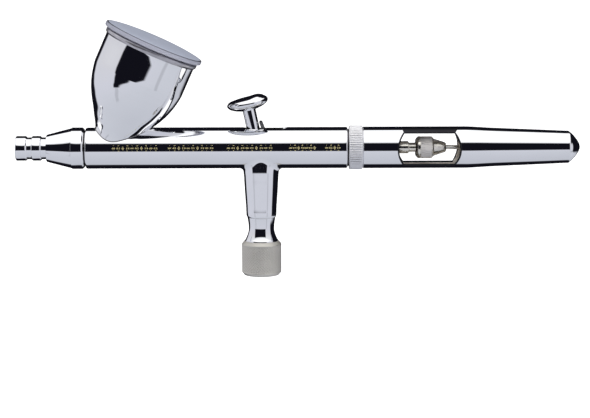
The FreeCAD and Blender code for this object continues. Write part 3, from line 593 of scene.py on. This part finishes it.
# ------------------------------------------------------------------ gold-filled ornament along the barrel
bm = bmesh.new()
def tile(x0, x1, z0, z1, skew=0.0):
    """A thin tile laid on the barrel's near side."""
    verts = []
    R = 6.012
    for x, z in ((x0, z0), (x1, z0), (x1 + skew, z1), (x0 + skew, z1)):
        y = -math.sqrt(R * R - z * z)
        verts.append(bm.verts.new(Vector((x, y, AXIS + z)) * MM))
    bm.faces.new(verts)
def lozenge(x, z, w, h):
    R = 6.012
    pts = [(x - w, z), (x, z - h), (x + w, z), (x, z + h)]
    bm.faces.new([bm.verts.new(Vector((px, -math.sqrt(R * R - pz * pz), AXIS + pz)) * MM) for px, pz in pts])
def chevron(x, way):
    for sgn in (-1, 1):
        z0, z1 = ZC, ZC + sgn * 0.88
        pts = [(x, z0), (x + 0.42 * way, z0), (x - 0.08 * way, z1), (x - 0.5 * way, z1)]
        bm.faces.new([bm.verts.new(Vector((px, -math.sqrt(6.012 ** 2 - pz * pz), AXIS + pz)) * MM) for px, pz in pts])
ZC = 0.64
def band(x0, x1, pitch):
    """Diamonds between pairs of chevrons and short bars: a plain border pattern."""
    x, i = x0, 0
    while x < x1:
        k = i % 4
        if k == 0:
            lozenge(x + 0.45, ZC, 0.52, 0.92)
        elif k == 1:
            chevron(x + 0.35, -1)
            tile(x + 0.62, x + 0.95, ZC - 0.25, ZC + 0.25)
        elif k == 2:
            lozenge(x + 0.45, ZC, 0.42, 0.6)
        else:
            tile(x + 0.05, x + 0.38, ZC - 0.25, ZC + 0.25)
            chevron(x + 0.65, 1)
        x += pitch
        i += 1
band(-43.0, -30.0, 1.35)
band(-26.8, -13.6, 1.35)
band(-9.8, 3.4, 1.35)
band(8.2, 16.2, 1.15)
band(18.6, 22.6, 1.15)
finish_mesh("gold_ornament", bm, "frame", GOLD)

# ------------------------------------------------------------------ studio
def pale_floor():
    m, nt, sh = new_material("floor_pale")
    sh.inputs["Base Color"].default_value = (0.9, 0.9, 0.9, 1)
    sh.inputs["Roughness"].default_value = 0.9
    sh.inputs["Emission Color"].default_value = (1, 1, 1, 1)
    sh.inputs["Emission Strength"].default_value = 0.55
    bm = bmesh.new()
    bmesh.ops.create_grid(bm, x_segments=2, y_segments=2, size=30.0)
    me = bpy.data.meshes.new("floor")
    bm.to_mesh(me)
    bm.free()
    me.materials.append(m)
    o = bpy.data.objects.new("floor", me)
    bpy.context.scene.collection.objects.link(o)
    o.location = (0, 0, -0.06)
    o.visible_glossy = False
    return o
pale_floor()

world = bpy.data.worlds.new("studio")
bpy.context.scene.world = world
world.use_nodes = True
nt = world.node_tree
nt.nodes.clear()
L = nt.links.new
def node(kind, **kw):
    n = nt.nodes.new(kind)
    for k, v in kw.items():
        setattr(n, k, v)
    return n
def math_(op, a, b=None, clamp=False):
    n = node("ShaderNodeMath", operation=op)
    n.use_clamp = clamp
    for i, v in enumerate((a, b)):
        if v is None:
            continue
        if isinstance(v, (int, float)):
            n.inputs[i].default_value = v
        else:
            L(v, n.inputs[i])
    return n.outputs[0]
def step(v, lo, hi):
    """0 below lo, 1 above hi."""
    n = node("ShaderNodeMapRange", interpolation_type="SMOOTHSTEP")
    n.inputs["From Min"].default_value = lo
    n.inputs["From Max"].default_value = hi
    L(v, n.inputs["Value"])
    return n.outputs[0]
tc = node("ShaderNodeTexCoord")
sep = node("ShaderNodeSeparateXYZ")
L(tc.outputs["Generated"], sep.inputs[0])
dx, dy, dz = sep.outputs
elev = math_("SUBTRACT", math_("MULTIPLY", math_("ARCSINE", dz), 57.29578), 4.0)
azim = math_("MULTIPLY", math_("ARCTAN2", dx, math_("MULTIPLY", dy, -1.0)), 57.29578)
# overhead softbox, then the light tent's grey side, then the black gap in front and the dark back
tent = node("ShaderNodeValToRGB")
tent.color_ramp.interpolation = "LINEAR"
e = tent.color_ramp.elements
e[0].position, e[0].color = 0.0, (0.56, 0.58, 0.64, 1)
e[1].position, e[1].color = 1.0, (1.25, 1.25, 1.25, 1)
for pos, c in ((0.30, (0.62, 0.64, 0.70, 1)), (0.44, (0.68, 0.69, 0.76, 1)), (0.56, (0.70, 0.70, 0.74, 1)), (0.66, (0.85, 0.86, 0.88, 1)),
               (0.705, (1.3, 1.3, 1.3, 1))):
    k = e.new(pos)
    k.color = c
L(math_("ADD", math_("DIVIDE", elev, 180.0), 0.5), tent.inputs[0])
gap = math_("MULTIPLY", math_("MULTIPLY", step(azim, -61, -57), math_("SUBTRACT", 1.0, step(azim, 36, 40))),
            math_("MULTIPLY", step(elev, -18.5, -15.5), math_("SUBTRACT", 1.0, step(elev, 25, 29))))
thresh = node("ShaderNodeFloatCurve")
cv = thresh.mapping.curves[0]
cv.points[0].location = (0.0, 0.12)
cv.points[1].location = (1.0, 0.40)
for p in ((0.06, 0.27), (0.25, 0.36), (0.42, 0.57), (0.55, 0.72), (0.75, 0.62), (0.93, 0.46)):
    cv.points.new(*p)
thresh.mapping.update()
L(math_("ADD", math_("MULTIPLY", dz, 0.5), 0.5), thresh.inputs["Value"])
back = step(math_("SUBTRACT", dy, thresh.outputs[0]), -0.04, 0.06)
lit_side = math_("MULTIPLY", step(dx, 0.30, 0.48), math_("SUBTRACT", 1.0, step(dz, -0.42, -0.24)))
back = math_("MULTIPLY", back, math_("SUBTRACT", 1.0, math_("MULTIPLY", lit_side, 0.9)))
side_gap = math_("MULTIPLY", step(azim, 84, 90), math_("MULTIPLY", step(dz, -0.42, -0.30), math_("SUBTRACT", 1.0, step(dz, 0.5, 0.62))))
def strip(at, half):
    return math_("MULTIPLY", step(azim, at - half - 4, at - half), math_("SUBTRACT", 1.0, step(azim, at + half, at + half + 4)))
seams = math_("MULTIPLY", math_("MAXIMUM", strip(-51, 2.2), strip(47, 2.2)),
              math_("MULTIPLY", math_("MULTIPLY", step(elev, -42, -36), math_("SUBTRACT", 1.0, step(elev, -18.5, -15.5))), 0.2))
gap = math_("MAXIMUM", gap, seams)
dark = math_("MAXIMUM", math_("MAXIMUM", gap, side_gap), back)
mix = node("ShaderNodeMix", data_type="RGBA")
L(dark, mix.inputs["Factor"])
L(tent.outputs[0], mix.inputs["A"])
mix.inputs["B"].default_value = (0.006, 0.006, 0.010, 1)
bg = node("ShaderNodeBackground")
L(mix.outputs["Result"], bg.inputs["Color"])
white = node("ShaderNodeBackground")
white.inputs["Color"].default_value = (1, 1, 1, 1)
white.inputs["Strength"].default_value = 1.05
lp = node("ShaderNodeLightPath")
pick = node("ShaderNodeMixShader")
L(lp.outputs["Is Camera Ray"], pick.inputs[0])
L(bg.outputs[0], pick.inputs[1])
L(white.outputs[0], pick.inputs[2])
wo = node("ShaderNodeOutputWorld")
L(pick.outputs[0], wo.inputs[0])

def area(name, loc, size, power, glossy=False):
    d = bpy.data.lights.new(name, "AREA")
    d.shape = "SQUARE"
    d.size = size
    d.energy = power
    o = bpy.data.objects.new(name, d)
    bpy.context.scene.collection.objects.link(o)
    o.location = loc
    o.rotation_euler = (Vector((0.01, 0, 0.03)) - Vector(loc)).to_track_quat("-Z", "Y").to_euler()
    o.visible_glossy = glossy
    return o
area("key_soft", (-0.35, -0.75, 0.75), 0.6, 5.0)
area("fill_soft", (0.6, -0.6, 0.25), 0.6, 2.0)

scene = bpy.context.scene
scene.view_settings.view_transform = "Standard"
scene.view_settings.look = "None"
cam = bpy.data.cameras.new("camera")
cam_o = bpy.data.objects.new("camera", cam)
scene.collection.objects.link(cam_o)
scene.camera = cam_o
cam.sensor_width = 36.0
DIST = 0.60
cam.lens = 36.0 * DIST / 0.17295
cam.clip_start = 0.01
cam.clip_end = 60
el = math.radians(9.0)
target = Vector((0.00985, 0.0, 0.01935))
cam_o.location = target + DIST * Vector((0, -math.cos(el), math.sin(el)))
look = (target - cam_o.location).to_track_quat("-Z", "Y")
cam_o.rotation_euler = (look.to_matrix() @ Matrix.Rotation(math.radians(-0.17), 3, "Z")).to_euler()
